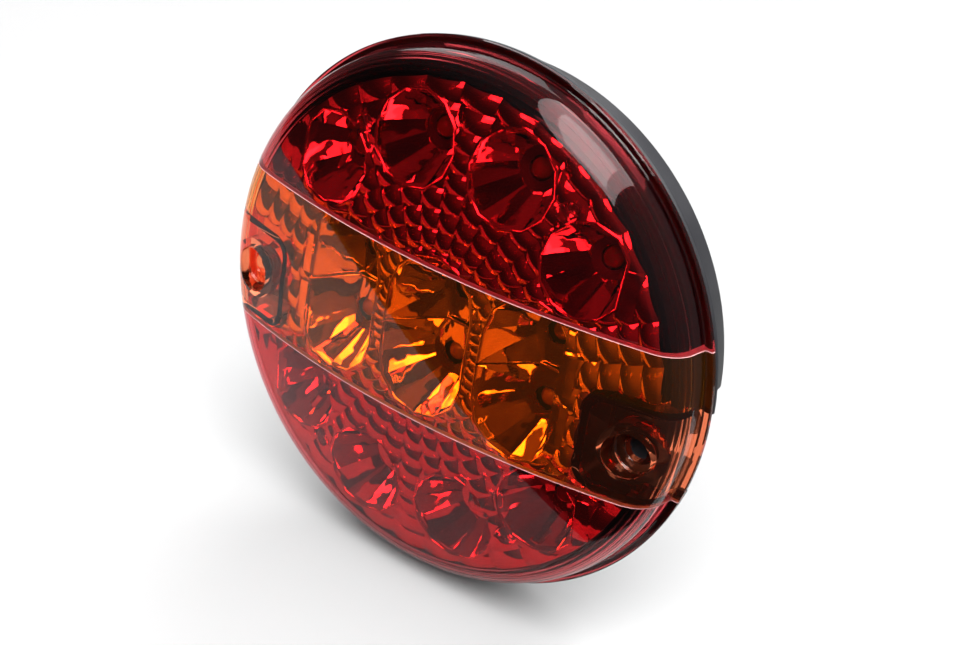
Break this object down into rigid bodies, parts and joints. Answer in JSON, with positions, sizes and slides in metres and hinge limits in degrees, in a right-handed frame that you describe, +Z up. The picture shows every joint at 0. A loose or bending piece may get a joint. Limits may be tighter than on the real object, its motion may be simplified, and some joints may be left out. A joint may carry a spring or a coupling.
{
  "type": "trailer tail light",
  "caption": "Round rear combination lamp with a domed red and amber lens over a chromed cup reflector, LEDs on a circuit board and a black dish housing; two screws through the face.",
  "frame": {"origin": "centre of the flat rear mounting face of the housing", "axes": "+Y points out of the back into the surface that the lamp is fixed to, so the lens faces -Y; +Z is up as mounted, with the amber band level; +X is to the right seen from in front"},
  "size_m": [0.14, 0.0373, 0.14],
  "materials": {
    "red_lens": "clear moulded red acrylic, polished",
    "amber_lens": "clear moulded amber acrylic, polished",
    "black_housing": "black moulded ABS, fine satin grain",
    "chromed_reflector": "vacuum-metallised plastic, mirror bright",
    "board_green": "green solder mask",
    "red_led": "tinted clear epoxy",
    "amber_led": "tinted clear epoxy",
    "zinc_steel": "zinc-plated",
    "seal_rubber": "matte black rubber",
    "resistor_body": "lacquered ceramic with colour bands",
    "component_black": "moulded epoxy",
    "tinned_brass": "tinned"
  },
  "bodies": {
    "root": {"lens_upper_red": "red_lens", "lens_amber_band": "amber_lens", "lens_lower_red": "red_lens", "housing": "black_housing", "lens_seal_upper": "seal_rubber", "lens_seal_lower": "seal_rubber", "cable_grommet": "seal_rubber", "reflector": "chromed_reflector", "circuit_board": "board_green", "led_red_1": "red_led", "led_red_2": "red_led", "led_red_3": "red_led", "led_red_4": "red_led", "led_red_5": "red_led", "led_red_6": "red_led", "led_red_7": "red_led", "led_red_8": "red_led", "led_amber_1": "amber_led", "led_amber_2": "amber_led", "led_amber_3": "amber_led", "led_amber_4": "amber_led", "led_amber_5": "amber_led", "led_amber_6": "amber_led", "reflector_screw_1": "zinc_steel", "reflector_screw_2": "zinc_steel", "reflector_screw_3": "zinc_steel", "reflector_screw_4": "zinc_steel", "resistor_1": "resistor_body", "resistor_2": "resistor_body", "resistor_3": "resistor_body", "resistor_4": "resistor_body", "diode_1": "component_black", "diode_2": "component_black", "diode_3": "component_black", "regulator_1": "component_black", "regulator_2": "component_black", "wire_terminal_1": "tinned_brass", "wire_terminal_2": "tinned_brass", "wire_terminal_3": "tinned_brass", "wire_terminal_4": "tinned_brass"}
  },
  "joints": []
}
